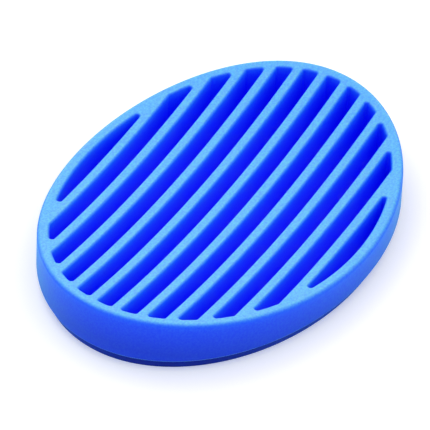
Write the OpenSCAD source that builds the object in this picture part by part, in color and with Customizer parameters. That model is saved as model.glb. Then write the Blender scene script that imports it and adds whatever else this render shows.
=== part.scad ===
// Oval soap saver moulded in soft silicone: a low oval wall, on a foot that is set in under it, round
// a dished grille of long slats.
// Millimetres. X runs along the length, Y across, Z up. The origin is under the middle, on the table.

/* [Oval] */
// Length over the wall
dish_l = 115; // [90:1:140]
// Width over the wall
dish_w = 80; // [60:1:100]
// Thickness of the wall
wall_t = 3; // [2.5:0.1:5]
// Radius of the wall's outer top edge
top_edge_r = 1.1; // [0.4:0.1:1.6]
// Radius of the wall's outer bottom edge, above the foot
low_edge_r = 0.5; // [0.2:0.1:0.5]
// Height of the foot
foot_h = 2.6; // [1:0.1:4]
// How far the foot is set in under the wall
foot_inset = 1.5; // [0.7:0.1:2]

/* [Dished top] */
// Height of the middle of the grille above the table
mid_h = 9; // [7:0.1:14]
// How far the top rises from the middle to the two ends
end_rise = 5.4; // [2:0.1:9]
// How far the top rises from the middle to the two sides
side_rise = 0.9; // [0.2:0.1:3]

/* [Slats] */
// Thickness of a slat
slat_t = 2.6; // [2:0.1:4]
// Radius of a slat's two top edges
slat_edge_r = 0.6; // [0.3:0.1:0.9]

/* [Hidden] */

// Half the length and half the width
half_l = dish_l / 2;
half_w = dish_w / 2;
// The top is an arc along the length; its radius follows from the rise at the ends
dish_r = (half_l * half_l + end_rise * end_rise) / (2 * end_rise);
// Slats are numbered from the +Y side, with the middle one on the centre line. They share the width
// inside the wall, so that the slots between them and beside the wall are all as wide
slat_count = 11;
middle_slat = (slat_count + 1) / 2;
slot_w = (dish_w - 2 * wall_t - slat_count * slat_t) / (slat_count + 1);
slat_pitch = slat_t + slot_w;
// Stations round the wall and steps round each of its rounded edges
stations = 160;
edge_steps = 4;
// Depth of the bar that a slat is cut from, enough to reach the table from the highest end
bar_depth = mid_h + end_rise + side_rise + 2;
silicone = [0.40, 0.74, 0.98];

// Height of the dished top over a point of the plan
function top_z(x, y) = mid_h + side_rise * pow(y / half_w, 2) + dish_r - sqrt(dish_r * dish_r - x * x);

// Point at angle t on the oval that lies `inset` inside the wall's outer face
function oval_xy(t, inset) = [(half_l - inset) * cos(t), (half_w - inset) * sin(t)];

// The section of the wall and its foot, as [inset, height, 1 if the height is measured down from the
// dished top]
function wall_section() = concat(
    [[foot_inset, 0, 0], [foot_inset, foot_h, 0]],
    [for (i = [0:edge_steps]) let (a = 90 * i / edge_steps)
        [low_edge_r * (1 - sin(a)), foot_h + low_edge_r * (1 - cos(a)), 0]],
    [for (i = [0:edge_steps]) let (a = 90 * i / edge_steps)
        [top_edge_r * (1 - cos(a)), top_edge_r * (1 - sin(a)), 1]],
    [[wall_t, 0, 1], [wall_t, 0, 0]]);

// One point of the section, placed at angle t
function wall_point(t, s) = let (p = oval_xy(t, s[0]))
    [p[0], p[1], s[2] == 1 ? top_z(p[0], p[1]) - s[1] : s[1]];

// The oval wall with its foot: the section carried round the oval, with the top edge following the dish
module rim() {
    section = wall_section();
    n = len(section);
    points = [for (k = [0:stations - 1]) for (s = section) wall_point(360 * k / stations, s)];
    faces = [for (k = [0:stations - 1]) for (j = [0:n - 1])
        let (k2 = (k + 1) % stations, j2 = (j + 1) % n)
        for (f = [[k * n + j, k * n + j2, k2 * n + j2], [k * n + j, k2 * n + j2, k2 * n + j]]) f];
    color(silicone) polyhedron(points, faces);
}

// Upright oval block that fills the wall's inner face, side for side
module inner_oval(h) {
    linear_extrude(h) polygon([for (k = [0:stations - 1]) oval_xy(360 * k / stations, wall_t)]);
}

// Section of a slat: a bar with its two top edges rounded, top at x = 0 and running to +x
module slat_section() {
    translate([slat_edge_r, -slat_t / 2]) square([bar_depth - slat_edge_r, slat_t]);
    translate([0, -slat_t / 2 + slat_edge_r]) square([slat_edge_r, slat_t - 2 * slat_edge_r]);
    for (side = [-1, 1])
        translate([slat_edge_r, side * (slat_t / 2 - slat_edge_r)]) circle(slat_edge_r, $fn = 12);
}

// One slat: a bar bent to the dish, cut flat on the table and cut to the wall's inner face
module slat(number) {
    y = (middle_slat - number) * slat_pitch;
    sweep = 2 * asin(half_l / dish_r) + 4;
    color(silicone) intersection() {
        translate([0, y, top_z(0, y) + dish_r]) rotate([90, 0, 0]) rotate([0, 0, -90 - sweep / 2])
            rotate_extrude(angle = sweep, $fn = 360) translate([dish_r, 0]) slat_section();
        inner_oval(bar_depth);
    }
}

rim();
slat(1);  // slat_01
slat(2);  // slat_02
slat(3);  // slat_03
slat(4);  // slat_04
slat(5);  // slat_05
slat(6);  // slat_06
slat(7);  // slat_07
slat(8);  // slat_08
slat(9);  // slat_09
slat(10);  // slat_10
slat(11);  // slat_11
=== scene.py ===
import math

import bpy
import numpy as np
from mathutils import Matrix, Vector
from mathutils.geometry import delaunay_2d_cdt


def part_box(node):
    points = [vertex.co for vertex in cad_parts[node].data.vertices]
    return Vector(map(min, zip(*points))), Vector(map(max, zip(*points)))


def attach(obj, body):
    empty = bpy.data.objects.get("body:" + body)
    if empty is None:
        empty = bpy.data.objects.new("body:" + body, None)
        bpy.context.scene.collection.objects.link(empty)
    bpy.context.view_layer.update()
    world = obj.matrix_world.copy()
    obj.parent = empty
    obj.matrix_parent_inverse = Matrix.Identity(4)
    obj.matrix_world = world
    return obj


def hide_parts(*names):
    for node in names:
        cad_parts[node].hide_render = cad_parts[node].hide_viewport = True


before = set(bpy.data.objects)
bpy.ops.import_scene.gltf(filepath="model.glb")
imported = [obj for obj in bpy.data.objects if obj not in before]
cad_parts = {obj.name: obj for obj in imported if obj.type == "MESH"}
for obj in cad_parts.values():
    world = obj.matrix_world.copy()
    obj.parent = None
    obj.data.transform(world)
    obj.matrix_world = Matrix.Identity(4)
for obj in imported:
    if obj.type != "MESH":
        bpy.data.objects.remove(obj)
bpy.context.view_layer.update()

pi = math.pi
slatNames = sorted(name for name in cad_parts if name.startswith("slat_"))
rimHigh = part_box("rim")[1]
slatBoxes = [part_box(name) for name in slatNames]


# The moulding

mould = {
    "midHeight": 0.009,          # middle of the grille above the table
    "endRise": 0.0054,           # how far the dished top rises to the two ends
    "sideRise": 0.0009,          # and to the two sides
    "topEdgeRadius": 0.0011,     # outer top edge of the wall
    "lowEdgeRadius": 0.0005,     # outer bottom edge of the wall, above the foot
    "footHeight": 0.0026,        # the foot, set in under the wall
    "footInset": 0.0015,
    "footCornerRadius": 0.0003,  # between the foot and the wall's underside
    "restEdgeRadius": 0.0002,    # bottom edges, where the dish rests
    "slotEdgeRadius": 0.0006,    # top edges of the slats and slots
    "slotCornerRadius": 0.0006,  # corners of the slots, in plan
    "step": 0.0006,              # spacing of the points along an outline
    "cornerStep": 0.00015,       # and round a corner of a slot
    "fewestPoints": 4,           # on any curve
    "edgeSteps": 5,              # rings round a rounded edge
    "wallSteps": 9,              # rings down a wall
    "footSteps": 3,              # rings down the foot
    "footShadeGap": 0.00001,     # how far below the lip the foot's painted shade starts
    "lowShading": 3.0,           # how soon the shading in a slot lightens towards the table
}

halfLength = rimHigh.x
halfWidth = rimHigh.y
wallThickness = halfLength - max(high.x for low, high in slatBoxes)
innerLength = halfLength - wallThickness
innerWidth = halfWidth - wallThickness
dishRadius = (halfLength ** 2 + mould["endRise"] ** 2) / (2 * mould["endRise"])


def topHeight(x, y):
    # Height of the dished top: an arc of dishRadius along x, and a parabola across y.
    arc = dishRadius - np.sqrt(dishRadius ** 2 - x ** 2)
    return mould["midHeight"] + arc + mould["sideRise"] * (y / halfWidth) ** 2


def topNormal(x, y):
    # Unit normal of the dished top: (-dz/dx, -dz/dy, 1) over its length.
    slopeX = x / np.sqrt(dishRadius ** 2 - x ** 2)
    slopeY = 2 * mould["sideRise"] * y / halfWidth ** 2
    normal = np.stack([-slopeX, -slopeY, np.ones_like(x)], axis=-1)
    return normal / np.linalg.norm(normal, axis=-1, keepdims=True)


def onOval(a, b, t):
    # Points of an oval at the angles t, (a cos t, b sin t), and their unit normals, which are
    # (b cos t, a sin t) over its length.
    points = np.stack([a * np.cos(t), b * np.sin(t)], axis=1)
    normals = np.stack([b * np.cos(t), a * np.sin(t)], axis=1)
    return points, normals / np.linalg.norm(normals, axis=1, keepdims=True)


def ovalOutline(a, b, step):
    # Closed oval, counter-clockwise, in even steps of angle: its length over the step gives their number.
    count = int(2 * pi * math.sqrt((a * a + b * b) / 2) / step)
    return onOval(a, b, np.linspace(0, 2 * pi, count, endpoint=False))


def cornerCentre(side, inward):
    # Centre of the rounded corner between the line y = side and the wall's inner face. It lies one
    # corner radius off the line, on the curve parallel to the inner oval at that same distance.
    r, samples = mould["slotCornerRadius"], 4001
    t = np.linspace(-pi / 2, pi / 2, samples)
    inner, normals = onOval(innerLength, innerWidth, t)
    parallel = inner - r * normals
    at = np.interp(side + inward * r, parallel[:, 1], t)
    centre = np.array([np.interp(at, t, parallel[:, 0]), side + inward * r])
    angle = math.atan2(innerLength * math.sin(at), innerWidth * math.cos(at))
    return centre, at, angle


def slotCorner(centre, start, end):
    # Arc of the corner radius round a centre, from angle start to angle end: its points and unit radii.
    radius = mould["slotCornerRadius"]
    count = max(mould["fewestPoints"], int(radius * abs(end - start) / mould["cornerStep"]))
    angles = np.linspace(start, end, count)
    radii = np.stack([np.cos(angles), np.sin(angles)], axis=1)
    return centre + radius * radii, radii


def slotSide(start, end, y, facing):
    # Straight side of a slot from x = start to x = end, without its ends. Its normal is (0, facing).
    x = np.linspace(start, end, int(abs(end - start) / mould["step"]))[1:-1]
    return np.stack([x, np.full_like(x, y)], axis=1), np.tile([0.0, facing], (len(x), 1))


def slotOutline(low, high):
    # One slot, counter-clockwise: right end, upper side, left end, lower side. An end is the inner oval
    # between two rounded corners. With high None the slot ends at the wall instead of at a slat.
    lowCentre, lowAt, lowAngle = cornerCentre(low, 1)
    highAt = pi / 2
    if high is not None:
        highCentre, highAt, highAngle = cornerCentre(high, -1)
    count = max(mould["fewestPoints"], int(innerLength * (highAt - lowAt) / mould["step"]))
    t = np.linspace(lowAt, highAt, count)[1:]
    if high is not None:
        t = t[:-1]
    pieces = [slotCorner(lowCentre, -pi / 2, lowAngle), onOval(innerLength, innerWidth, t)]
    if high is not None:
        pieces.append(slotCorner(highCentre, highAngle, pi / 2))
    right, rightNormals = (np.concatenate(part) for part in zip(*pieces))
    mirror = np.array([-1, 1])
    left, leftNormals = right[::-1] * mirror, rightNormals[::-1] * mirror
    outline = [(right, rightNormals)]
    if high is None:
        left, leftNormals = left[1:], leftNormals[1:]
    else:
        outline.append(slotSide(right[-1, 0], left[0, 0], high, 1.0))
    outline += [(left, leftNormals), slotSide(left[-1, 0], right[0, 0], low, -1.0)]
    return tuple(np.concatenate(part) for part in zip(*outline))


def quarter():
    # Steps of a quarter turn, one for each ring of a rounded edge.
    return np.linspace(0, pi / 2, mould["edgeSteps"] + 1)


def restEdge(inset):
    # Rounded bottom edge of a wall that stands on the table at this inset, as rings of inset, height and
    # tilt: at angle a it is r (1 - cos a) further in, at a height of r (1 - sin a).
    a, r = quarter(), mould["restEdgeRadius"]
    return np.array([inset + r * (1 - np.cos(a)), r * (1 - np.sin(a)), a + pi / 2])


def lipAndFoot():
    # Below the outer wall, in rings like restEdge's: the rounded lip, by the same formula from footHeight
    # up; its flat underside; a hollow corner, h (1 - sin a) short of the foot and h (1 - cos a) below the
    # underside; the foot, straight down; and the edge that it rests on.
    a, r, hollow = quarter(), mould["lowEdgeRadius"], mould["footCornerRadius"]
    height, inset = mould["footHeight"], mould["footInset"]
    lip = np.array([r * (1 - np.cos(a)), height + r * (1 - np.sin(a)), a + pi / 2])
    corner = np.array([inset - hollow + hollow * np.sin(a), height - hollow + hollow * np.cos(a), pi - a])
    rest = restEdge(inset)
    down = np.linspace(corner[1, -1], rest[1, 0], mould["footSteps"] + 1)[1:-1]
    foot = np.array([np.full_like(down, inset), down, np.full_like(down, pi / 2)])
    return np.concatenate([lip, corner, foot, rest], axis=1)


def sweepWall(points, toMaterial, topRadius, lower):
    # A wall from the dished top to the table, as rings that repeat the outline, from top to bottom. At
    # angle a of the top edge a ring lies r (1 - sin a) into the material and r (1 - cos a) below the top.
    # Then the wall runs straight down to the lower rings, given as inset, height above the table, and
    # tilt, which is the angle that the normal has turned down from straight up.
    a = quarter()
    v = np.linspace(0, 1, mould["wallSteps"] + 1)[1:-1]
    inset = np.concatenate([topRadius * (1 - np.sin(a)), 0 * v, lower[0]])
    tilt = np.concatenate([a, 0 * v + pi / 2, lower[2]])
    plan = points[None] + inset[:, None, None] * toMaterial[None]
    x, y = plan[..., 0], plan[..., 1]
    top = topHeight(x, y)
    edge = top[:len(a)] - topRadius * (1 - np.cos(a))[:, None]
    edge = np.minimum(edge, rimHigh.z)
    straight = edge[-1] + v[:, None] * (lower[1, 0] - edge[-1])
    z = np.concatenate([edge, straight, np.repeat(lower[1][:, None], len(points), axis=1)])
    tilt = tilt[:, None, None]
    upward = np.where(tilt < pi / 2, topNormal(x, y), [0, 0, 1])
    outward = np.append(-toMaterial, np.zeros((len(points), 1)), axis=1)
    normals = upward * np.cos(tilt) + outward[None] * np.sin(tilt)
    normals /= np.linalg.norm(normals, axis=-1, keepdims=True)
    return np.stack([x, y, z], axis=-1), normals


def webFaces(rings):
    # Flat fill between closed outlines: a constrained Delaunay triangulation of their plan. The slots are
    # convex, so a triangle with all its corners on one slot fills that slot and is left out.
    counts = [len(ring) for ring in rings]
    starts = np.cumsum([0] + counts)
    millimetres, insideOnly, tolerance = 1000, 1, 1e-6
    plan = [Vector(point) for point in (np.concatenate(rings) * millimetres).tolist()]
    edges = [np.stack([np.arange(n), (np.arange(n) + 1) % n], axis=1) + s for n, s in zip(counts, starts)]
    edges = np.concatenate(edges).tolist()
    triangles, sources = delaunay_2d_cdt(plan, edges, [], insideOnly, tolerance)[2:4]
    faces = np.array([ids[0] for ids in sources])[np.array(triangles)]
    ring = np.searchsorted(starts, faces, side="right")
    inSlot = (ring[:, 0] == ring[:, 1]) & (ring[:, 1] == ring[:, 2]) & (ring[:, 0] > 1)
    return faces[~inSlot]


def makeOuterWall():
    # The oval outside of the dish, with the lip and the foot.
    points, outward = ovalOutline(halfLength, halfWidth, mould["step"])
    return sweepWall(points, -outward, mould["topEdgeRadius"], lipAndFoot())


def makeSlotWalls():
    # A wall down each slot: first the slots between two slats, from -y to +y, then the one beside the
    # wall at +y, and then the one at -y, which is worked out on the other side and mirrored.
    sides = sorted((low.y, high.y) for low, high in slatBoxes)
    outlines = [slotOutline(low, high) for (_, low), (high, _) in zip(sides, sides[1:])]
    outlines.append(slotOutline(sides[-1][1], None))
    mirror = np.array([1, -1])
    outlines.append(tuple(part[::-1] * mirror for part in slotOutline(-sides[0][0], None)))
    radius, lower = mould["slotEdgeRadius"], restEdge(0)
    return [sweepWall(points, toMaterial, radius, lower) for points, toMaterial in outlines]


def wallFaces(rings):
    # Each face joins a point and the next one round to the two below them.
    after = np.roll(rings, -1, axis=1)
    return np.stack([rings[:-1], rings[1:], after[1:], after[:-1]], axis=-1).reshape(-1, 4)


def colourGuides(points, inSlot):
    # Three values at each point, which steer its colour and its painted shade: the depth below the dished
    # top,
    # 1 in a slot, and 1 on the foot. Low in a slot the depth is lowShading times the height above the
    # table, if less, so that the painted shade lightens towards the table.
    x, y, height = points.T
    depth = topHeight(x, y) - height
    shaded = np.minimum(depth, mould["lowShading"] * height)
    footTop = mould["footHeight"] - mould["footShadeGap"]
    return {
        "shadingDepth": np.where(inSlot, shaded, depth),
        "inSlot": inSlot,
        "onFoot": ~inSlot & (height < footTop),
    }


def makeSkin():
    # The whole moulding as one closed surface: the outer wall, a wall down each slot, the dished web
    # between their top rings and the flat web between their bottom rings.
    walls = [makeOuterWall()] + makeSlotWalls()
    points = np.concatenate([grid.reshape(-1, 3) for grid, _ in walls])
    normals = np.concatenate([normal.reshape(-1, 3) for _, normal in walls])
    starts = np.cumsum([0] + [grid[..., 0].size for grid, _ in walls])
    rings = [np.arange(start, end).reshape(grid.shape[:2])
             for start, end, (grid, _) in zip(starts, starts[1:], walls)]
    faces = [wallFaces(rings[0])] + [wallFaces(slot)[:, ::-1] for slot in rings[1:]]
    top, bottom = [wall[0] for wall in rings], [wall[-1] for wall in rings]
    topWeb = np.concatenate(top)[webFaces([points[ring, :2] for ring in top])]
    bottomWeb = np.concatenate(bottom)[webFaces([points[ring, :2] for ring in bottom])][:, ::-1]
    polygons = np.concatenate(faces).tolist() + np.concatenate([topWeb, bottomWeb]).tolist()
    mesh = bpy.data.meshes.new("siliconeDish")
    mesh.from_pydata(points.tolist(), [], polygons)
    mesh.shade_smooth()
    inSlot = np.arange(len(points)) >= starts[1]
    for name, values in colourGuides(points, inSlot).items():
        attribute = mesh.attributes.new(name, "FLOAT", "POINT")
        attribute.data.foreach_set("value", values.astype(np.float32))
    mesh.validate()
    mesh.normals_split_custom_set_from_vertices(normals.tolist())
    piece = bpy.data.objects.new("siliconeDish", mesh)
    bpy.context.scene.collection.objects.link(piece)
    print("silicone dish:", len(mesh.vertices), "points,", len(mesh.polygons), "faces")
    return piece


# The silicone

silicone = {
    "facingUp": (0.130, 0.475, 0.92),  # pale colour painted on what faces up, as the light on the top, and used on what faces down
    "turnPower": 4.0,                  # how soon that painted light gives way to painted shade as the surface turns upright
    "wallShadeByDepth": (                       # painted shade on the outer wall, darker with depth below the top: each depth and the colour there
        (0.0, (0.015, 0.17, 0.96)),
        (0.001, (0.012, 0.105, 0.95)),
        (0.002, (0.012, 0.080, 0.89)),
        (0.0045, (0.011, 0.064, 0.81)),
        (0.009, (0.009, 0.050, 0.66)),
    ),
    "slotShadeByDepth": (                       # painted shade in a slot, darker with depth: each depth and the colour there
        (0.0, (0.016, 0.19, 1.0)),
        (0.0008, (0.015, 0.18, 1.0)),
        (0.0015, (0.012, 0.12, 1.0)),
        (0.0025, (0.009, 0.07, 1.0)),
        (0.0045, (0.005, 0.035, 1.0)),
        (0.008, (0.012, 0.012, 1.0)),
    ),
    "slotEndShade": (0.45, 0.48, 0.95),    # painted shade: multiplies that colour where a slot ends at the wall
    "foot": (0.0006, 0.009, 0.26),     # painted shade on the foot, which lies in shadow under the wall
    "footSheen": (0.045, 0.20, 1.0),   # and its sheen where it is seen edge on
    "footSheenPower": 2.0,
    "wallSheen": (0.15, 0.95, 1.0),    # pale sheen where the surface is seen edge on
    "topSheen": (0.45, 0.95, 1.0),
    "sheenPower": 3.0,
    "sheenOnWall": 0.32,
    "sheenOnTop": 0.8,
    "sheenDepth": 0.0008,              # it fades out at this depth in a slot
    "translucency": 0.5,
    "scatterReach": (0.05, 0.25, 1.0),  # how far red, green and blue travel, times scatterScale
    "scatterScale": 0.004,
    "specular": 0.15,
    "roughness": 0.55,
    "roughnessSpread": 0.06,
    "grainScale": 1900,                # fine matt grain, repeats per metre
    "grainDetail": 3.0,
    "grainRange": (0.35, 0.65),        # noise values of its darkest and palest specks
    "grainDark": (0.80, 0.83, 1.0),    # what those specks multiply the colour by
    "grainPale": (1.20, 1.17, 1.0),
    "grainDepth": 0.000012,
}


def addNode(tree, kind, place, **values):
    # One node at a place in the tree, with its properties or input values set by name.
    node = tree.nodes.new(kind)
    node.location = place
    for name, value in values.items():
        if hasattr(node, name):
            setattr(node, name, value)
        else:
            node.inputs[name].default_value = value
    return node


def feed(tree, socket, value):
    # Sets an input from a number, a colour, or another node's output.
    if isinstance(value, bpy.types.NodeSocket):
        tree.links.new(value, socket)
    else:
        socket.default_value = (*value, 1) if isinstance(value, tuple) else value


def calculate(tree, place, operation, *terms):
    # The result of one operation on its terms, each a number or another node's output.
    node = addNode(tree, "ShaderNodeMath", place, operation=operation)
    for socket, term in zip(node.inputs, terms):
        feed(tree, socket, term)
    return node.outputs[0]


def mixColours(tree, place, factor, first, second, blend="MIX"):
    # First colour at factor 0; at factor 1 the second colour, or their product.
    node = addNode(tree, "ShaderNodeMix", place, data_type="RGBA", blend_type=blend)
    firstInput, secondInput, colourOutput = 6, 7, 2  # the node's sockets repeat their names
    feed(tree, node.inputs["Factor"], factor)
    feed(tree, node.inputs[firstInput], first)
    feed(tree, node.inputs[secondInput], second)
    return node.outputs[colourOutput]


def rescale(tree, place, value, before, after):
    # The value, moved in proportion from the range before to the range after, and held inside it.
    node = addNode(tree, "ShaderNodeMapRange", place)
    node.inputs["From Min"].default_value, node.inputs["From Max"].default_value = before
    node.inputs["To Min"].default_value, node.inputs["To Max"].default_value = after
    tree.links.new(value, node.inputs["Value"])
    return node.outputs["Result"]


def shadesByDepth(tree, place, depth, shades):
    # Painted shade by depth: each shade is a depth and the colour there, with even steps between them.
    deepest = shades[-1][0]
    ramp = addNode(tree, "ShaderNodeValToRGB", (place[0] + 200, place[1]))
    stops = ramp.color_ramp.elements
    while len(stops) < len(shades):
        stops.new(1.0)
    for stop, (at, colour) in zip(stops, shades):
        stop.position = at / deepest
        stop.color = (*colour, 1)
    tree.links.new(rescale(tree, place, depth, (0, deepest), (0, 1)), ramp.inputs["Fac"])
    return ramp.outputs["Color"]


def addPaintedLightAndShade(tree, normal, turn, edgeOn, depth, inSlot, onFoot):
    # Colour before sheen and grain: painted shade by depth on what stands upright, with painted shade on
    # the slot ends and a dark painted shade on the foot with a sheen of its own, and the pale top colour,
    # painted light, as the surface turns to face up or down.
    # painted shade by depth on the outer wall and down the slots
    wallShades = shadesByDepth(tree, (-1300, -300), depth, silicone["wallShadeByDepth"])
    slotShades = shadesByDepth(tree, (-1300, -50), depth, silicone["slotShadeByDepth"])
    # painted shade on the end walls of the slots, by how far their normal points along the length
    endwise = calculate(tree, (-1100, 50), "ABSOLUTE", normal.outputs["X"])
    slotColour = mixColours(tree, (-850, -100), endwise, slotShades, silicone["slotEndShade"], "MULTIPLY")
    upright = mixColours(tree, (-650, -100), inSlot, wallShades, slotColour)
    # painted shade on the foot, lighter with a painted sheen where it is seen edge on
    footFade = calculate(tree, (-1050, -550), "POWER", edgeOn, silicone["footSheenPower"])
    foot = mixColours(tree, (-850, -550), footFade, silicone["foot"], silicone["footSheen"])
    low = mixColours(tree, (-450, -100), onFoot, upright, foot)
    return mixColours(tree, (-250, 0), turn, low, silicone["facingUp"])


def addSheen(tree, body, turn, edgeOn, depth, inSlot, onFoot):
    # Pale sheen over the colour with its painted light and shade. Its share is the edge-on value to
    # sheenPower, times the sheen of the wall or the top. It is hidden on the foot, and in the slots below
    # sheenDepth.
    fading = calculate(tree, (-1100, 700), "POWER", edgeOn, silicone["sheenPower"])
    amount = rescale(tree, (-1100, 500), turn, (0, 1), (silicone["sheenOnWall"], silicone["sheenOnTop"]))
    intoSlot = rescale(tree, (-1100, 300), depth, (0, silicone["sheenDepth"]), (0, 1))
    hiddenInSlot = calculate(tree, (-900, 300), "MULTIPLY", intoSlot, inSlot)
    hidden = calculate(tree, (-750, 300), "MAXIMUM", hiddenInSlot, onFoot)
    shown = calculate(tree, (-600, 300), "SUBTRACT", 1, hidden)
    share = calculate(tree, (-900, 600), "MULTIPLY", fading, amount)
    sheen = calculate(tree, (-450, 450), "MULTIPLY", share, shown)
    pale = mixColours(tree, (-450, 700), turn, silicone["wallSheen"], silicone["topSheen"])
    return mixColours(tree, (-50, 200), sheen, body, pale)


def addGrain(tree, colour, shader):
    # One fine noise gives the specks that multiply the colour, the roughness and the bump.
    place = addNode(tree, "ShaderNodeTexCoord", (-1500, -900))
    grain = addNode(tree, "ShaderNodeTexNoise", (-1300, -900),
                    Scale=silicone["grainScale"], Detail=silicone["grainDetail"])
    tree.links.new(place.outputs["Object"], grain.inputs["Vector"])
    noise = grain.outputs["Fac"]
    speck = rescale(tree, (-1100, -900), noise, silicone["grainRange"], (0, 1))
    tone = mixColours(tree, (-900, -900), speck, silicone["grainDark"], silicone["grainPale"])
    mottled = mixColours(tree, (150, 200), 1, colour, tone, "MULTIPLY")
    tree.links.new(mottled, shader.inputs["Base Color"])
    middle, spread = silicone["roughness"], silicone["roughnessSpread"]
    rough = rescale(tree, (-400, -400), noise, (0, 1), (middle - spread, middle + spread))
    tree.links.new(rough, shader.inputs["Roughness"])
    bump = addNode(tree, "ShaderNodeBump", (-400, -700), Strength=1.0, Distance=silicone["grainDepth"])
    tree.links.new(noise, bump.inputs["Height"])
    tree.links.new(bump.outputs["Normal"], shader.inputs["Normal"])


def makeSilicone():
    # Matt, slightly translucent silicone, whose colour holds painted light and shade. Turn is 1 where the
    # surface faces up or down and 0 where it is upright: the upright part of its normal, without its
    # sign, to turnPower. It brings in the pale top colour, painted light, over the painted shade of what
    # stands upright.
    material = bpy.data.materials.new("matteSilicone")
    material.use_nodes = True
    tree = material.node_tree
    shader = tree.nodes["Principled BSDF"]
    shader.inputs["Specular IOR Level"].default_value = silicone["specular"]
    shader.inputs["Subsurface Weight"].default_value = silicone["translucency"]
    shader.inputs["Subsurface Radius"].default_value = silicone["scatterReach"]
    shader.inputs["Subsurface Scale"].default_value = silicone["scatterScale"]
    geometry = addNode(tree, "ShaderNodeNewGeometry", (-2100, 200))
    toObject = addNode(tree, "ShaderNodeVectorTransform", (-1900, 200),
                       vector_type="NORMAL", convert_from="WORLD", convert_to="OBJECT")
    normal = addNode(tree, "ShaderNodeSeparateXYZ", (-1700, 200))
    tree.links.new(geometry.outputs["Normal"], toObject.inputs[0])
    tree.links.new(toObject.outputs[0], normal.inputs[0])
    level = calculate(tree, (-1500, 200), "ABSOLUTE", normal.outputs["Z"])
    turn = calculate(tree, (-1300, 200), "POWER", level, silicone["turnPower"])
    edgeOn = addNode(tree, "ShaderNodeLayerWeight", (-1500, 600)).outputs["Facing"]
    depth, inSlot, onFoot = (
        addNode(tree, "ShaderNodeAttribute", (-1700, y), attribute_name=name).outputs["Fac"]
        for name, y in (("shadingDepth", -50), ("inSlot", -250), ("onFoot", -450)))
    body = addPaintedLightAndShade(tree, normal, turn, edgeOn, depth, inSlot, onFoot)
    addGrain(tree, addSheen(tree, body, turn, edgeOn, depth, inSlot, onFoot), shader)
    return material


dish = makeSkin()
dish.data.materials.append(makeSilicone())
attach(dish, "root")
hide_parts("rim", *slatNames)
print("silicone material done")


# Floor, light and camera

studio = {
    "floorSize": 3.0,
    "floorColour": (0.965, 0.97, 0.965),
    "floorGlow": 0.21,       # added to the floor as the camera sees it, which makes the background white
    "floorRoughness": 0.9,
    "floorSpecular": 0.1,
    "skyColour": (1.0, 1.0, 1.0),
    "skyStrength": 0.94,     # what lights the dish; the camera sees a sky of strength 1, which is white
    "lampPlace": (0.25, 0.55, 0.70),
    "lampSize": 0.7,
    "lampPower": 1.3,
    "lightBounces": 24,
    "diffuseBounces": 16,    # light is passed on many times between the slats
}


def makeFloor():
    # Plain square floor on z = 0, with a faint glow that only the camera sees.
    half = studio["floorSize"] / 2
    corners = [(-half, -half, 0), (half, -half, 0), (half, half, 0), (-half, half, 0)]
    mesh = bpy.data.meshes.new("floor")
    mesh.from_pydata(corners, [], [(0, 1, 2, 3)])
    floor = bpy.data.objects.new("floor", mesh)
    bpy.context.scene.collection.objects.link(floor)
    material = bpy.data.materials.new("paleFloor")
    material.use_nodes = True
    shader = material.node_tree.nodes["Principled BSDF"]
    shader.inputs["Base Color"].default_value = (*studio["floorColour"], 1)
    shader.inputs["Roughness"].default_value = studio["floorRoughness"]
    shader.inputs["Specular IOR Level"].default_value = studio["floorSpecular"]
    shader.inputs["Emission Color"].default_value = (1, 1, 1, 1)
    tree = material.node_tree
    sight = addNode(tree, "ShaderNodeLightPath", (-600, -200))
    glow = calculate(tree, (-300, -200), "MULTIPLY", sight.outputs["Is Camera Ray"], studio["floorGlow"])
    tree.links.new(glow, shader.inputs["Emission Strength"])
    mesh.materials.append(material)
    return floor


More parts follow.
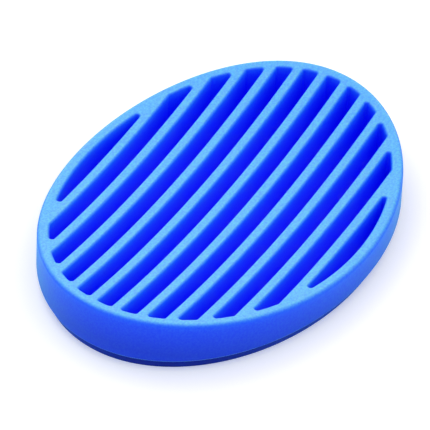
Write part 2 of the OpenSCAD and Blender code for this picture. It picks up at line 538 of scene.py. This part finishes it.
def makeLight():
    # An even white sky, and one soft lamp above the far side.
    world = bpy.data.worlds.new("studio")
    bpy.context.scene.world = world
    world.use_nodes = True
    tree = world.node_tree
    sky = tree.nodes["Background"]
    sky.inputs["Color"].default_value = (*studio["skyColour"], 1)
    sight = addNode(tree, "ShaderNodeLightPath", (-700, 0))
    direct, through = sight.outputs["Is Camera Ray"], sight.outputs["Is Transmission Ray"]
    seen = calculate(tree, (-450, 0), "MAXIMUM", direct, through)
    strength = rescale(tree, (-250, 0), seen, (0, 1), (studio["skyStrength"], 1))
    tree.links.new(strength, sky.inputs["Strength"])
    lamp = bpy.data.lights.new("softLamp", "AREA")
    lamp.shape = "DISK"
    lamp.size = studio["lampSize"]
    lamp.energy = studio["lampPower"]
    holder = bpy.data.objects.new("softLamp", lamp)
    holder.location = studio["lampPlace"]
    holder.rotation_euler = Vector(studio["lampPlace"]).to_track_quat("Z", "Y").to_euler()
    bpy.context.scene.collection.objects.link(holder)


viewpoint = {
    "azimuth": -64.369,      # degrees, 0 looks along +y
    "elevation": 36.901,
    "roll": 2.748,
    "distance": 1.23634,
    "target": (0.004148, 0.003666, 0.0013),
    "pixelFocal": 5084.62,   # focal length in pixels of a picture 430 wide
    "pictureWidth": 430,
    "sensorWidth": 36,       # millimetres
    "clipStart": 0.1,
}


def makeCamera():
    # The camera sits at the distance from its target along the azimuth and the elevation, and is
    # rolled about its own axis.
    azimuth, elevation, roll = (math.radians(viewpoint[k]) for k in ("azimuth", "elevation", "roll"))
    away = Vector((math.sin(azimuth) * math.cos(elevation), -math.cos(azimuth) * math.cos(elevation),
                   math.sin(elevation)))
    right = Vector((0, 0, 1)).cross(away).normalized()
    up = away.cross(right)
    turned = right * math.cos(roll) + up * math.sin(roll)
    axes = Matrix((turned, away.cross(turned), away)).transposed()
    camera = bpy.data.objects.new("camera", bpy.data.cameras.new("camera"))
    position = Vector(viewpoint["target"]) + away * viewpoint["distance"]
    camera.matrix_world = Matrix.Translation(position) @ axes.to_4x4()
    camera.data.sensor_width = viewpoint["sensorWidth"]
    camera.data.lens = viewpoint["sensorWidth"] * viewpoint["pixelFocal"] / viewpoint["pictureWidth"]
    camera.data.clip_start = viewpoint["clipStart"]
    bpy.context.scene.collection.objects.link(camera)
    bpy.context.scene.camera = camera


makeFloor()
makeLight()
makeCamera()
bpy.context.scene.view_settings.view_transform = "Standard"
bpy.context.scene.cycles.max_bounces = studio["lightBounces"]
bpy.context.scene.cycles.diffuse_bounces = studio["diffuseBounces"]
print("floor, light and camera done")
